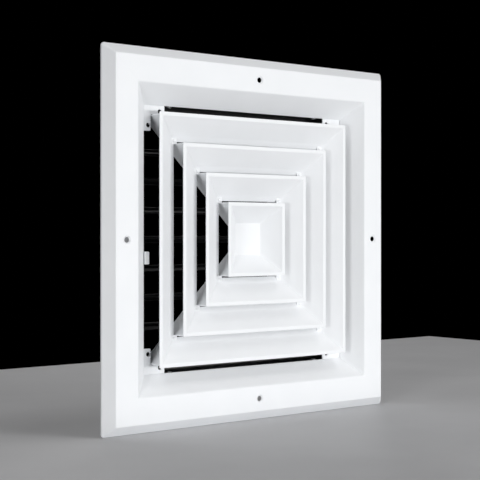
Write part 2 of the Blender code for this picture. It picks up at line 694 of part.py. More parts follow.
def make_linkage(materials):
    """Slotted bar that lifts every crank pin together, and the lever on its outer side."""
    bm = bmesh.new()
    low = (LINK_OUTER_X, SHAFT_Y - LINK_HALF_WIDTH, LINK_BOTTOM)
    high = (LINK_OUTER_X + LINK_THICKNESS, SHAFT_Y + LINK_HALF_WIDTH, LINK_TOP)
    box(bm, low, high)
    bar = object_from_bmesh("linkage_bar", bm, materials["steel"])
    cut(bar, linkage_slot_cutters())

    tab_back = LEVER_TAB_Y + LEVER_TAB_THICKNESS
    section = [
        (LEVER_TAB_OUTER_X, LEVER_TAB_Y), (LEVER_TAB_INNER_X, LEVER_TAB_Y), (LEVER_TAB_INNER_X, tab_back),
        (LEVER_NECK_INNER_X, tab_back), (LEVER_NECK_INNER_X, LEVER_JOG_Y),
        (LEVER_INNER_X, LEVER_JOG_Y + LEVER_NECK_INNER_X - LEVER_INNER_X), (LEVER_INNER_X, LEVER_BACK_Y),
        (LEVER_OUTER_X, LEVER_BACK_Y), (LEVER_OUTER_X, LEVER_JOG_Y + LEVER_NECK_OUTER_X - LEVER_OUTER_X),
        (LEVER_NECK_OUTER_X, LEVER_JOG_Y), (LEVER_NECK_OUTER_X, tab_back), (LEVER_TAB_OUTER_X, tab_back),
    ]
    bm = bmesh.new()
    prism(bm, [(x, y, LEVER_Z - LEVER_HEIGHT / 2) for x, y in section], (0, 0, LEVER_HEIGHT))
    object_from_bmesh("damper_lever", bm, materials["lever"])


def main():
    clear_scene()
    materials = make_materials()
    frame_bars = make_frame(materials)
    make_corner_brackets(materials)
    make_louvres(materials)
    make_centre_cone(materials)
    make_spokes(materials)
    make_core_clips(materials)
    make_hub(materials)
    damper_walls = make_damper_frame(materials)
    make_damper_screws(materials, frame_bars, damper_walls)
    make_blades(materials)
    make_linkage(materials)


main()
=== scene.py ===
"""Looks for the square four-way ceiling air diffuser with its opposed-blade damper.

Units are metres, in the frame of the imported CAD: the face looks along -Y, +Z is up on the face and +Y
runs into the duct. Every ring is square about the Y axis, so a bar's profile is a list of (r, y) points,
where r is the distance from that axis.
"""
import math

import bmesh
import bpy
from mathutils import Matrix, Vector


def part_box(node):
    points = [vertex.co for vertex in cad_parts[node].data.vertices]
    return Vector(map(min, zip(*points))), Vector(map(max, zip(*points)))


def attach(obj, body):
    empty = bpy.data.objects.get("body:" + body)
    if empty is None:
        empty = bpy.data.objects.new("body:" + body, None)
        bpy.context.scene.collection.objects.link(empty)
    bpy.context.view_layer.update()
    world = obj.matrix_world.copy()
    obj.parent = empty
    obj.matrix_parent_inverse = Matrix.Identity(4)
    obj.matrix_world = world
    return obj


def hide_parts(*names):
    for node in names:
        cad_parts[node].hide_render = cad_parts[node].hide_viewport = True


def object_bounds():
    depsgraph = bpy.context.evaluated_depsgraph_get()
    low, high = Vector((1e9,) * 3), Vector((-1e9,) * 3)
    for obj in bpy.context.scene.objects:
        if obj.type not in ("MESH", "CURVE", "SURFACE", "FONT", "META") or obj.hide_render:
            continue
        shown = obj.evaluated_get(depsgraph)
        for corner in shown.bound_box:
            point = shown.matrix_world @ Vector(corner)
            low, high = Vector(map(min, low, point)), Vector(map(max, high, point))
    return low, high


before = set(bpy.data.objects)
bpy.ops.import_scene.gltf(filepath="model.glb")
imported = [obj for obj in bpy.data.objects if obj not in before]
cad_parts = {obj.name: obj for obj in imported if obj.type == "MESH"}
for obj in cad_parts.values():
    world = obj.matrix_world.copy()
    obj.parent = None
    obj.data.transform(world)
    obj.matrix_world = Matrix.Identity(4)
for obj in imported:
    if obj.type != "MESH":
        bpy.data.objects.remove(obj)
cad_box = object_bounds()

MM = 0.001
SHARP_ANGLE = 32.0                  # degrees; a mesh is smooth where it bends less
SIDES = {"top": 0, "right": 1, "bottom": 2, "left": 3}      # quarter turns about +Y from the top
CORNERS = {"top_left": (-1, 1), "top_right": (1, 1), "bottom_left": (-1, -1), "bottom_right": (1, -1)}
RINGS = ("outer", "middle", "inner")

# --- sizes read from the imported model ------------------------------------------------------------
frame_lo, frame_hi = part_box("frame_top")
OUTER_HALF = frame_hi.z
FACE_Y = frame_lo.y
NECK_END_Y = frame_hi.y
THROAT_HALF = frame_lo.z
bracket_lo, bracket_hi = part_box("corner_bracket_top_right")
damper_lo, damper_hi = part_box("damper_frame_top")

# --- sizes inside those boxes --------------------------------------------------------------------
FACE_HALF = 213.2 * MM
MOUTH_HALF = 182.5 * MM
WALL = 1.6 * MM
FACE_WALL = 2.0 * MM
EDGE_WALL_HEIGHT = 2.0 * MM
SEAT_LIP = 8.0 * MM
FLANGE_CORNER_RADIUS = 4.0 * MM
NECK_INNER = 161.6 * MM
NECK_OUTER = 163.4 * MM
THROAT_BACK_Y = FACE_Y + MOUTH_HALF - THROAT_HALF
THROAT_LIP = 0.8 * MM
FACE_HOLE_OFFSET = (FACE_HALF + MOUTH_HALF) / 2
FACE_HOLE_RADIUS = 3.3 * MM
COUNTERSINK_RADIUS = 4.9 * MM
SEAM = 0.02 * MM                    # each welded mitre stops this far short of its plane
BRACKET_INNER = 148.5 * MM
BRACKET_HOLE_NEAR = 135.2 * MM      # a bracket's two holes lie at (near, far) and (far, near)
BRACKET_HOLE_FAR = 152.0 * MM
BRACKET_HOLE_RADIUS = 2.75 * MM

RIM_WIDTH = 4.4 * MM
LOUVRE_WALL = 1.3 * MM
SLOPE_RUN = 21.4 * MM
SLOPE_DROP = 14.3 * MM
LIP_RUN = 7.9 * MM
LIP_DROP = 4.3 * MM
CENTRE_WALL = 1.2 * MM
CENTRE_FLAT_HALF = 20.2 * MM
CENTRE_CORNER_RADIUS = 1.2 * MM
TAB_SIZE = 8.6 * MM                 # riveted tabs at the rings' back corners
TAB_THICKNESS = 1.1 * MM

BLADE_COUNT = 9
BLADE_CHORD_HALF = 17.5 * MM
BLADE_BORE_RADIUS = 2.65 * MM
BLADE_LEAN = 10.0                   # degrees from level at rest, neighbours opposite ways
DAMPER_SHEET = 1.1 * MM
RIVET_INSET = 9.0 * MM              # from the damper frame's sides and back to the nearest rivets
RIVET_PITCH = 12.0 * MM
BUSH_BORE_RADIUS = 2.6 * MM
BUSH_RADIUS = 2.78 * MM
BUSH_FLANGE_RADIUS = 4.1 * MM
DAMPER_SCREW = {"head_radius": 3.6 * MM, "head_height": 1.3 * MM, "shank_radius": 1.8 * MM, "pitch": 1.1 * MM}
DAMPER_SCREW_HOLE_RADIUS = 2.1 * MM
HUB_SCREW = {"head_radius": 4.5 * MM, "head_height": 2.2 * MM, "shank_radius": 2.5 * MM, "pitch": 1.2 * MM}
GRIP_THICKNESS = 1.5 * MM           # the lever's flat part
GRIP_CORNER_RADIUS = 2.0 * MM
LEVER_JOG_DEPTH = 6.6 * MM          # from the grip's front to the step between neck and arm

FLOOR_HALF_WIDTH = 1.1
FLOOR_FRONT_Y = -0.9
FLOOR_BACK_Y = 0.7
FLOOR_THICKNESS = 0.02
FLOOR_GAP = 0.2 * MM                # below the part

CAMERA_YAW = 39.116                 # degrees to the left of the face's normal
CAMERA_DISTANCE = 1.5239
CAMERA_LEFT = 0.0251
CAMERA_UP = 0.0079
CAMERA_LENS = 92.03                 # mm, for a 36 mm sensor
CAMERA_SHIFT_Y = -0.0146


# --- mesh helpers --------------------------------------------------------------------------------
def new_object(name, bm, sharp=SHARP_ANGLE):
    """Object from a bmesh: outward normals, smooth where the surface bends less than sharp degrees."""
    bmesh.ops.recalc_face_normals(bm, faces=bm.faces)
    mesh = bpy.data.meshes.new(name)
    bm.to_mesh(mesh)
    bm.free()
    mesh.shade_smooth()
    mesh.set_sharp_from_angle(angle=math.radians(sharp))
    obj = bpy.data.objects.new(name, mesh)
    bpy.context.scene.collection.objects.link(obj)
    return obj


def weighted_normals(obj):
    """Keep broad flats flat beside narrow rounded edges."""
    modifier = obj.modifiers.new("weighted_normals", "WEIGHTED_NORMAL")
    modifier.weight = 100
    modifier.keep_sharp = True
    return obj


def bevelled(obj, width, segments=2):
    modifier = obj.modifiers.new("edges", "BEVEL")
    modifier.width = width
    modifier.segments = segments
    modifier.limit_method = "ANGLE"
    modifier.angle_limit = math.radians(30.0)
    modifier.use_clamp_overlap = True
    return weighted_normals(obj)


def filleted(points, radii, step_deg=11.0):
    """Closed outline with each corner rounded to its radius, capped by its neighbours."""
    count = len(points)
    result = []
    for i, radius in enumerate(radii):
        before, here, after = Vector(points[i - 1]), Vector(points[i]), Vector(points[(i + 1) % count])
        to_before, to_after = (before - here), (after - here)
        lengths = to_before.length, to_after.length
        to_before.normalize()
        to_after.normalize()
        bend = math.pi - to_before.angle(to_after)
        if radius <= 0 or bend < math.radians(1):
            result.append(tuple(here))
            continue
        tangent = min(radius * math.tan(bend / 2), 0.45 * min(lengths))
        radius = tangent / math.tan(bend / 2)
        middle = (to_before + to_after).normalized()
        centre = here + middle * math.hypot(radius, tangent)
        start, end = here + to_before * tangent - centre, here + to_after * tangent - centre
        steps = max(2, math.ceil(math.degrees(bend) / step_deg))
        turn = bend if start.x * end.y > start.y * end.x else -bend
        for step in range(steps + 1):
            angle = turn * step / steps
            rotated = Vector((start.x * math.cos(angle) - start.y * math.sin(angle),
                              start.x * math.sin(angle) + start.y * math.cos(angle)))
            result.append(tuple(centre + rotated))
    return result


def ring_bar(name, profile, side, corner_radius, steps):
    """One mitred side of a square ring, whose corners are rounded to corner_radius(r)."""
    bm = bmesh.new()
    stations = [(-1, math.pi / 4 * (1 - k / steps)) for k in range(steps + 1)]
    stations += [(1, math.pi / 4 * k / steps) for k in range(steps + 1)]
    loops = []
    for sign, phi in stations:
        loop = []
        for r, y in profile:
            rc = corner_radius(r)
            x = r - rc + rc * math.sin(phi) - SEAM * math.sqrt(2)
            z = r - rc + rc * math.cos(phi)
            loop.append(bm.verts.new((sign * x, y, z)))
        loops.append(loop)
    count = len(profile)
    bm.faces.new(loops[0])
    bm.faces.new(list(reversed(loops[-1])))
    for this, following in zip(loops, loops[1:]):
        for i in range(count):
            j = (i + 1) % count
            bm.faces.new((this[i], this[j], following[j], following[i]))
    bm.transform(Matrix.Rotation(SIDES[side] * math.pi / 2, 4, "Y"))
    return new_object(name, bm)


def turned(bm, outline, axis_point, axis, segments=32, closed=False):
    """Turn an outline of (distance along axis, radius) points about an axis.

    Radius 0 closes to a point. A closed outline makes a tube, an open one is capped at both ends.
    """
    axis = Vector(axis).normalized()
    side = axis.orthogonal().normalized()
    other = axis.cross(side)
    rings = []
    for a, r in outline:
        base = Vector(axis_point) + axis * a
        if r < 1e-9:
            rings.append([bm.verts.new(base)])
            continue
        ring = []
        for step in range(segments):
            angle = 2 * math.pi * step / segments
            ring.append(bm.verts.new(base + (side * math.cos(angle) + other * math.sin(angle)) * r))
        rings.append(ring)
    for this, following in zip(rings, rings[1:] + rings[:1] if closed else rings[1:]):
        for i in range(segments):
            j = (i + 1) % segments
            corners = [this[i % len(this)], this[j % len(this)],
                       following[j % len(following)], following[i % len(following)]]
            unique = list(dict.fromkeys(corners))
            if len(unique) > 2:
                bm.faces.new(unique)
    for ring in (rings[0], rings[-1]):
        if len(ring) > 2 and not closed:
            bm.faces.new(ring)


def slab(bm, outline, along):
    """Extrude a closed 3-D outline by a vector."""
    near = [bm.verts.new(point) for point in outline]
    far = [bm.verts.new(Vector(point) + Vector(along)) for point in outline]
    bm.faces.new(near)
    bm.faces.new(list(reversed(far)))
    for i in range(len(near)):
        j = (i + 1) % len(near)
        bm.faces.new((near[i], near[j], far[j], far[i]))


def carve(obj, cutters):
    """Subtract cutter bmeshes from a new object and keep the plain result."""
    helpers = []
    for index, bm in enumerate(cutters):
        cutter = new_object(f"cutter_{index}", bm)
        modifier = obj.modifiers.new(cutter.name, "BOOLEAN")
        modifier.operation = "DIFFERENCE"
        modifier.solver = "EXACT"
        modifier.object = cutter
        helpers.append(cutter)
    graph = bpy.context.evaluated_depsgraph_get()
    mesh = bpy.data.meshes.new_from_object(obj.evaluated_get(graph))
    obj.modifiers.clear()
    obj.data = mesh
    mesh.shade_smooth()
    mesh.set_sharp_from_angle(angle=math.radians(SHARP_ANGLE))
    for helper in helpers:
        bpy.data.objects.remove(helper, do_unlink=True)
    return obj


def line_at(point, direction, r=None, y=None):
    """Where a profile line meets a given r or y."""
    t = (r - point[0]) / direction[0] if r is not None else (y - point[1]) / direction[1]
    return point[0] + t * direction[0], point[1] + t * direction[1]


def crossing(point_a, direction_a, point_b, direction_b):
    """Where two profile lines meet."""
    turn = direction_a[0] * direction_b[1] - direction_a[1] * direction_b[0]
    apart = (point_b[0] - point_a[0], point_b[1] - point_a[1])
    t = (apart[0] * direction_b[1] - apart[1] * direction_b[0]) / turn
    return point_a[0] + t * direction_a[0], point_a[1] + t * direction_a[1]


# --- materials -----------------------------------------------------------------------------------
def base_material(name, colour, roughness, metallic=0.0):
    material = bpy.data.materials.new(name)
    material.use_nodes = True
    shader = material.node_tree.nodes["Principled BSDF"]
    shader.inputs["Base Color"].default_value = (*colour, 1.0)
    shader.inputs["Roughness"].default_value = roughness
    shader.inputs["Metallic"].default_value = metallic
    return material, shader


def add_noise(tree, coords, scale, detail, roughness=0.5, stretch=None):
    if stretch is not None:
        mapping = tree.nodes.new("ShaderNodeMapping")
        mapping.inputs["Scale"].default_value = stretch
        tree.links.new(coords, mapping.inputs["Vector"])
        coords = mapping.outputs["Vector"]
    noise = tree.nodes.new("ShaderNodeTexNoise")
    noise.inputs["Scale"].default_value = scale
    noise.inputs["Detail"].default_value = detail
    noise.inputs["Roughness"].default_value = roughness
    tree.links.new(coords, noise.inputs["Vector"])
    return noise.outputs["Fac"]


def ramp(tree, factor, low, high, low_at=0.35, high_at=0.65):
    """Colour ramp from low to high; colours are RGB triples or single greys."""
    node = tree.nodes.new("ShaderNodeValToRGB")
    for element, value, at in zip(node.color_ramp.elements, (low, high), (low_at, high_at)):
        element.position = at
        element.color = (*value, 1.0) if isinstance(value, tuple) else (value, value, value, 1.0)
    tree.links.new(factor, node.inputs["Fac"])
    return node.outputs["Color"]


def add_bump(tree, shader, height, distance, strength=1.0, chain=None):
    bump = tree.nodes.new("ShaderNodeBump")
    bump.inputs["Distance"].default_value = distance
    bump.inputs["Strength"].default_value = strength
    tree.links.new(height, bump.inputs["Height"])
    if chain is not None:
        tree.links.new(chain, bump.inputs["Normal"])
    tree.links.new(bump.outputs["Normal"], shader.inputs["Normal"])
    return bump.outputs["Normal"]


def coated(name, light, dark, rough_low, rough_high, peel_depth):
    """Powder coat: faint clouding, orange peel at two scales and a slightly uneven gloss."""
    material, shader = base_material(name, light, rough_low)
    tree = material.node_tree
    coords = tree.nodes.new("ShaderNodeTexCoord").outputs["Object"]
    clouds = add_noise(tree, coords, 22.0, 3.0)
    tree.links.new(ramp(tree, clouds, dark, light, 0.3, 0.7), shader.inputs["Base Color"])
    gloss = add_noise(tree, coords, 140.0, 4.0, 0.6)
    tree.links.new(ramp(tree, gloss, rough_low, rough_high, 0.3, 0.7), shader.inputs["Roughness"])
    peel = add_noise(tree, coords, 520.0, 2.0, 0.45)
    chain = add_bump(tree, shader, peel, peel_depth, 0.5)
    grain = add_noise(tree, coords, 2600.0, 1.0)
    add_bump(tree, shader, grain, peel_depth * 0.3, 0.35, chain)
    return material


def metal(name, light, dark, rough_low, rough_high, stretch):
    """Plated or bare steel: drawn grain along one direction and cloudy plating."""
    material, shader = base_material(name, light, rough_low, 1.0)
    tree = material.node_tree
    coords = tree.nodes.new("ShaderNodeTexCoord").outputs["Object"]
    clouds = add_noise(tree, coords, 90.0, 4.0, 0.6)
    tree.links.new(ramp(tree, clouds, dark, light, 0.3, 0.7), shader.inputs["Base Color"])
    grain = add_noise(tree, coords, 900.0, 3.0, 0.6, stretch)
    tree.links.new(ramp(tree, grain, rough_low, rough_high, 0.25, 0.75), shader.inputs["Roughness"])
    add_bump(tree, shader, grain, 0.00002, 0.4)
    return material


def moulded(name, light, dark):
    """Injection-moulded nylon: fine spark-eroded texture and a little light scattered inside."""
    material, shader = base_material(name, light, 0.48)
    shader.inputs["Subsurface Weight"].default_value = 0.12
    shader.inputs["Subsurface Radius"].default_value = (0.6, 0.6, 0.6)
    shader.inputs["Subsurface Scale"].default_value = 0.002
    tree = material.node_tree
    coords = tree.nodes.new("ShaderNodeTexCoord").outputs["Object"]
    clouds = add_noise(tree, coords, 160.0, 3.0)
    tree.links.new(ramp(tree, clouds, dark, light, 0.3, 0.7), shader.inputs["Base Color"])
    texture = add_noise(tree, coords, 3200.0, 2.0)
    add_bump(tree, shader, texture, 0.00003, 0.5)
    return material


WHITE = coated("white_powder_coat", (0.888, 0.905, 0.925), (0.868, 0.886, 0.907), 0.44, 0.52, 0.00004)
BLACK = coated("black_enamelled_steel", (0.024, 0.024, 0.026), (0.016, 0.016, 0.017), 0.34, 0.46, 0.00004)
# Blade black is darker than the damper frame's black enamel and has its specular turned almost off: painted
# shade, standing in for the little light that reaches the blades deep in the damper.
BLADE_BLACK_PAINTED_SHADE = coated("blade_black_painted_shade", (0.0085, 0.0085, 0.009), (0.006, 0.006, 0.0065), 0.6, 0.72,
                     0.00002)
BLADE_BLACK_PAINTED_SHADE.node_tree.nodes["Principled BSDF"].inputs["Specular IOR Level"].default_value = 0.04
ZINC = metal("zinc_plated_steel", (0.66, 0.67, 0.68), (0.52, 0.53, 0.55), 0.28, 0.46, (1.0, 6.0, 6.0))
SPRING = metal("spring_steel", (0.44, 0.44, 0.46), (0.33, 0.33, 0.35), 0.24, 0.4, (6.0, 1.0, 6.0))
NYLON = moulded("white_nylon", (0.88, 0.90, 0.91), (0.86, 0.88, 0.89))


def finish_piece(obj, body, slot, material, *nodes):
    """Give a new piece its material and body, and hide the CAD nodes that it stands for. The slot argument is
    not used.
    """
    obj.data.materials.clear()
    obj.data.materials.append(material)
    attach(obj, body)
    if nodes:
        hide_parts(*nodes)
    return obj


def dress_node(node, material, bevel):
    """Keep a CAD node and give it its material and eased edges."""
    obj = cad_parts[node]
    for material_slot in obj.material_slots:
        material_slot.material = material
    if not obj.material_slots:
        obj.data.materials.append(material)
    bevelled(obj, bevel)


# --- flange, face, throat and neck ----------------------------------------------------------------
def frame_profile():
    """Sharp points of the extruded wall and the radius that each one is rounded to."""
    bevel = (OUTER_HALF - FACE_HALF, -FACE_Y - EDGE_WALL_HEIGHT)
    length = math.hypot(*bevel)
    bevel_inside = (FACE_HALF - WALL * bevel[1] / length, FACE_Y + WALL * bevel[0] / length)
    throat_inside = (MOUTH_HALF + WALL / math.sqrt(2), FACE_Y + WALL / math.sqrt(2))
    throat = (-1.0, 1.0)
    lip_back = THROAT_BACK_Y + THROAT_LIP
    points = [
        ((OUTER_HALF, 0.0), 0.3), ((OUTER_HALF, -EDGE_WALL_HEIGHT), 1.6), ((FACE_HALF, FACE_Y), 2.2),
        ((MOUTH_HALF, FACE_Y), 3.6), ((THROAT_HALF, THROAT_BACK_Y), 0.35), ((THROAT_HALF, lip_back), 0.35),
        ((NECK_INNER, lip_back), 0.3), ((NECK_INNER, NECK_END_Y), 0.5), ((NECK_OUTER, NECK_END_Y), 0.5),
        (line_at(throat_inside, throat, r=NECK_OUTER), 1.5),
        (line_at(throat_inside, throat, y=FACE_Y + FACE_WALL), 2.0),
        (line_at(bevel_inside, bevel, y=FACE_Y + FACE_WALL), 1.5),
        (line_at(bevel_inside, bevel, y=-WALL), 0.6),
        ((OUTER_HALF - SEAT_LIP, -WALL), 0.4), ((OUTER_HALF - SEAT_LIP, 0.0), 0.4),
    ]
    return filleted([p for p, _ in points], [radius * MM for _, radius in points])


def frame_corner_radius(r):
    """Rounded outside corners that tighten across the bevel, and tight ones inside the face."""
    share = max(0.0, min(1.0, (r - FACE_HALF) / (OUTER_HALF - FACE_HALF)))
    return 1.2 * MM + share * (FLANGE_CORNER_RADIUS - 1.2 * MM)


def face_hole(side):
    centre = Matrix.Rotation(SIDES[side] * math.pi / 2, 4, "Y") @ Vector((0, 0, FACE_HOLE_OFFSET))
    depth = COUNTERSINK_RADIUS - FACE_HOLE_RADIUS
    outline = [
        (FACE_Y - 2 * MM, COUNTERSINK_RADIUS + 0.9 * MM), (FACE_Y - 0.05 * MM, COUNTERSINK_RADIUS + 0.35 * MM),
        (FACE_Y + 0.12 * MM, COUNTERSINK_RADIUS), (FACE_Y + 0.12 * MM + depth * 0.9, FACE_HOLE_RADIUS),
        (FACE_Y + 5 * MM, FACE_HOLE_RADIUS),
    ]
    bm = bmesh.new()
    turned(bm, outline, (centre.x, 0, centre.z), (0, 1, 0), 48)
    return bm


def screw_clearances(side):
    """Holes in the neck for the damper's screws."""
    cutters = []
    if side in ("top", "bottom"):
        for place in ("left", "right"):
            lo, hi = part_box(f"damper_screw_{side}_{place}")
            centre = (lo + hi) / 2
            bm = bmesh.new()
            sign = 1 if side == "top" else -1
            depths = [(z, DAMPER_SCREW_HOLE_RADIUS) for z in (150 * MM, 170 * MM)]
            turned(bm, depths, (centre.x, centre.y, 0), (0, 0, sign), 24)
            cutters.append(bm)
    return cutters


def make_frame():
    profile = frame_profile()
    for side in SIDES:
        bar = ring_bar(f"face_bar_{side}", profile, side, frame_corner_radius, steps=8)
        carve(bar, [face_hole(side), *screw_clearances(side)])
        weighted_normals(bar)
        finish_piece(bar, "diffuser_frame", "white_coat", WHITE, f"frame_{side}")


# --- corner brackets --------------------------------------------------------------------------------
def make_brackets():
    """L plates with two punched holes, corners and edges rounded by the press."""
    thickness = bracket_hi.y - bracket_lo.y
    outer, leg, inner = bracket_hi.x, bracket_lo.x, BRACKET_INNER
    outline = filleted(
        [(leg, inner), (leg, outer), (outer, outer), (outer, leg), (inner, leg), (inner, inner)],
        [1.2 * MM, 0.6 * MM, 0.6 * MM, 0.6 * MM, 1.2 * MM, 2.0 * MM], 15)
    for corner, (sx, sz) in CORNERS.items():
        bm = bmesh.new()
        slab(bm, [(sx * x, bracket_lo.y, sz * z) for x, z in outline], (0, thickness, 0))
        plate = new_object(f"bracket_plate_{corner}", bm)
        cutters = []
        for x, z in ((BRACKET_HOLE_NEAR, BRACKET_HOLE_FAR), (BRACKET_HOLE_FAR, BRACKET_HOLE_NEAR)):
            hole = bmesh.new()
            depths = [(y, BRACKET_HOLE_RADIUS) for y in (0, 20 * MM)]
            turned(hole, depths, (sx * x, 0, sz * z), (0, 1, 0), 32)
            cutters.append(hole)
        carve(plate, cutters)
        bevelled(plate, 0.3 * MM, 2)
        finish_piece(plate, "diffuser_frame", "white_coat", WHITE, f"corner_bracket_{corner}")


# --- louvre rings -----------------------------------------------------------------------------------
def louvre_profile(half, rim_y):
    """Flat rim, slope and flatter lip of one folded sheet, with its bends and edges rounded."""
    rim_inside = half - RIM_WIDTH
    slope, lip = (-SLOPE_RUN, SLOPE_DROP), (-LIP_RUN, LIP_DROP)
    slope_length, lip_length = math.hypot(*slope), math.hypot(*lip)
    slope_end = (rim_inside - SLOPE_RUN, rim_y + SLOPE_DROP)
    lip_end = (slope_end[0] - LIP_RUN, slope_end[1] + LIP_DROP)
    slope_behind = (rim_inside + LOUVRE_WALL * SLOPE_DROP / slope_length,
                    rim_y + LOUVRE_WALL * SLOPE_RUN / slope_length)
    lip_behind = (lip_end[0] + LOUVRE_WALL * LIP_DROP / lip_length,
                  lip_end[1] + LOUVRE_WALL * LIP_RUN / lip_length)
    points = [
        ((half, rim_y), 0.55), ((rim_inside, rim_y), 1.6), (slope_end, 3.0), (lip_end, 0.5),
        (lip_behind, 0.5), (crossing(lip_behind, lip, slope_behind, slope), 3.0),
        (line_at(slope_behind, slope, y=rim_y + LOUVRE_WALL), 0.8), ((half, rim_y + LOUVRE_WALL), 0.55),
    ]
    return filleted([p for p, _ in points], [radius * MM for _, radius in points])


def make_louvres():
    for ring in RINGS:
        lo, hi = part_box(f"louvre_{ring}_top")
        profile = louvre_profile(hi.z, lo.y)
        for side in SIDES:
            bar = ring_bar(f"ring_{ring}_{side}", profile, side, lambda r: 1.0 * MM, steps=4)
            weighted_normals(bar)
            finish_piece(bar, "core", "white_coat", WHITE, f"louvre_{ring}_{side}")


def make_corner_tabs():
    """Small square tabs riveted over each ring's back corners, which hold it to its spoke."""
    half = TAB_SIZE / 2
    square = filleted([(-half, -half), (half, -half), (half, half), (-half, half)], [1.6 * MM] * 4, 15)
    dome = [(0.4 * MM, 2.2 * MM), (0.0, 2.2 * MM), (-0.45 * MM, 1.9 * MM), (-0.8 * MM, 1.2 * MM),
            (-0.95 * MM, 0.0)]
    for ring in RINGS:
        lo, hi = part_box(f"louvre_{ring}_top")
        lip_half = lo.z + 1.6 * MM
        front_y = hi.y - LOUVRE_WALL - 2.6 * MM
        for corner, (sx, sz) in CORNERS.items():
            bm = bmesh.new()
            outline = [(sx * lip_half + a, front_y, sz * lip_half + b) for a, b in square]
            slab(bm, outline, (0, TAB_THICKNESS, 0))
            tab = bevelled(new_object(f"corner_tab_{ring}_{corner}", bm), 0.3 * MM, 2)
            finish_piece(tab, "core", "white_coat", WHITE)
            bm = bmesh.new()
            turned(bm, dome, (sx * lip_half, front_y, sz * lip_half), (0, 1, 0), 24)
            rivet = new_object(f"tab_rivet_{ring}_{corner}", bm, 50)
            finish_piece(rivet, "core", "white_coat", WHITE)


def make_centre():
    """Dished square centre as one pressing: rim, sloping sides and a flat bottom."""
    lo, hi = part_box("centre_cone")
    half, rim_y = hi.x, lo.y
    flat_y = hi.y - CENTRE_WALL
    rim_inside = half - RIM_WIDTH
    wall = CENTRE_WALL
    front = [((CENTRE_FLAT_HALF, flat_y), 1.4), ((rim_inside, rim_y), 1.6), ((half, rim_y), 0.5),
             ((half, rim_y + wall), 0.5), ((rim_inside + wall / 2, rim_y + wall), 1.2),
             ((CENTRE_FLAT_HALF + wall / 2, flat_y + wall), 2.0)]
    ends = [(0.0, flat_y), *[p for p, _ in front], (0.0, flat_y + wall)]
    radii = [0.0, *[radius * MM for _, radius in front], 0.0]
    steps = 6
    bm = bmesh.new()
    loops = []
    for r, y in filleted(ends, radii)[1:-1]:
        rc = min(CENTRE_CORNER_RADIUS, 0.4 * r)
        loop = []
        for quarter in range(4):
            turn = quarter * math.pi / 2
            for k in range(steps + 1):
                phi = math.pi / 2 * k / steps
                x = r - rc + rc * math.sin(phi)
                z = r - rc + rc * math.cos(phi)
                loop.append(bm.verts.new((x * math.cos(turn) + z * math.sin(turn), y,
                                          -x * math.sin(turn) + z * math.cos(turn))))
        loops.append(loop)
    for this, following in zip(loops, loops[1:]):
        for i in range(len(this)):
            j = (i + 1) % len(this)
            bm.faces.new((this[i], this[j], following[j], following[i]))
    bm.faces.new(loops[0])
    bm.faces.new(loops[-1])
    cone = weighted_normals(new_object("centre_dish", bm))
    finish_piece(cone, "core", "white_coat", WHITE, "centre_cone")


# --- damper -------------------------------------------------------------------------------------
def blade_profile(tip_y):
    """Extruded blade across its chord: a round boss, two tapering wings and a bulb at each tip."""
    boss, root, bulb, neck = 4.2 * MM, 1.2 * MM, 0.62 * MM, 0.42 * MM
    half = []
    for step in range(7):
        angle = math.pi / 2 * step / 6
        half.append((tip_y - bulb + bulb * math.cos(angle), bulb * math.sin(angle)))
    half += [(tip_y - 2.2 * MM, neck + 0.1 * MM), (tip_y - 2.9 * MM, neck + 0.12 * MM)]
    joint = math.asin(root / boss)
    half.append((boss * math.cos(joint) + 0.9 * MM, root * 0.97))
    for step in range(15):
        angle = joint + (math.pi / 2 - joint) * step / 14
        half.append((boss * math.cos(angle), boss * math.sin(angle)))
    top = half + [(-y, z) for y, z in reversed(half[:-1])]
    return top + [(-y, -z) for y, z in top[1:-1]]


def blade_box(number):
    """Low corner, high corner and centre of a blade's box; its hinge runs along X through the centre."""
    lo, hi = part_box(f"blade_{number}")
    return lo, hi, (lo + hi) / 2


def chord_angle(number):
    return math.radians(-BLADE_LEAN if number % 2 else BLADE_LEAN)


def make_blades():
    profile = blade_profile(BLADE_CHORD_HALF)
    for number in range(1, BLADE_COUNT + 1):
        lo, hi, centre = blade_box(number)
        bm = bmesh.new()
        slab(bm, [(lo.x, y, z) for y, z in profile], (hi.x - lo.x, 0, 0))
        bm.transform(Matrix.Translation((0, centre.y, centre.z)) @ Matrix.Rotation(chord_angle(number), 4, "X"))
        blade = new_object(f"blade_extrusion_{number}", bm)
        bore = bmesh.new()
        depths = [(x, BLADE_BORE_RADIUS) for x in (lo.x - 2 * MM, hi.x + 2 * MM)]
        turned(bore, depths, (0, centre.y, centre.z), (1, 0, 0), 24)
        carve(blade, [bore])
        weighted_normals(blade)
        finish_piece(blade, f"damper_blade_{number}", "black_coat", BLADE_BLACK_PAINTED_SHADE, f"blade_{number}")


def screw_recess(centre, axis, radius, depth):
    """Two crossed tapering bars, one cutter each, that make a cross recess."""
    axis = Vector(axis).normalized()
    side = axis.orthogonal().normalized()
    other = axis.cross(side)
    corners = ((-1, -0.3), (1, -0.3), (1, 0.3), (-1, 0.3))
    bars = []
    for a, b in ((side, other), (other, side)):
        bm = bmesh.new()
        near = [bm.verts.new(Vector(centre) + (a * u + b * v) * radius - axis * 0.5 * MM) for u, v in corners]
        far = [bm.verts.new(Vector(centre) + (a * u * 0.45 + b * v * 0.7) * radius + axis * depth)
               for u, v in corners]
        bm.faces.new(near)
        bm.faces.new(list(reversed(far)))
        for i in range(4):
            k = (i + 1) % 4
            bm.faces.new((near[i], near[k], far[k], far[i]))
        bars.append(bm)
    return bars


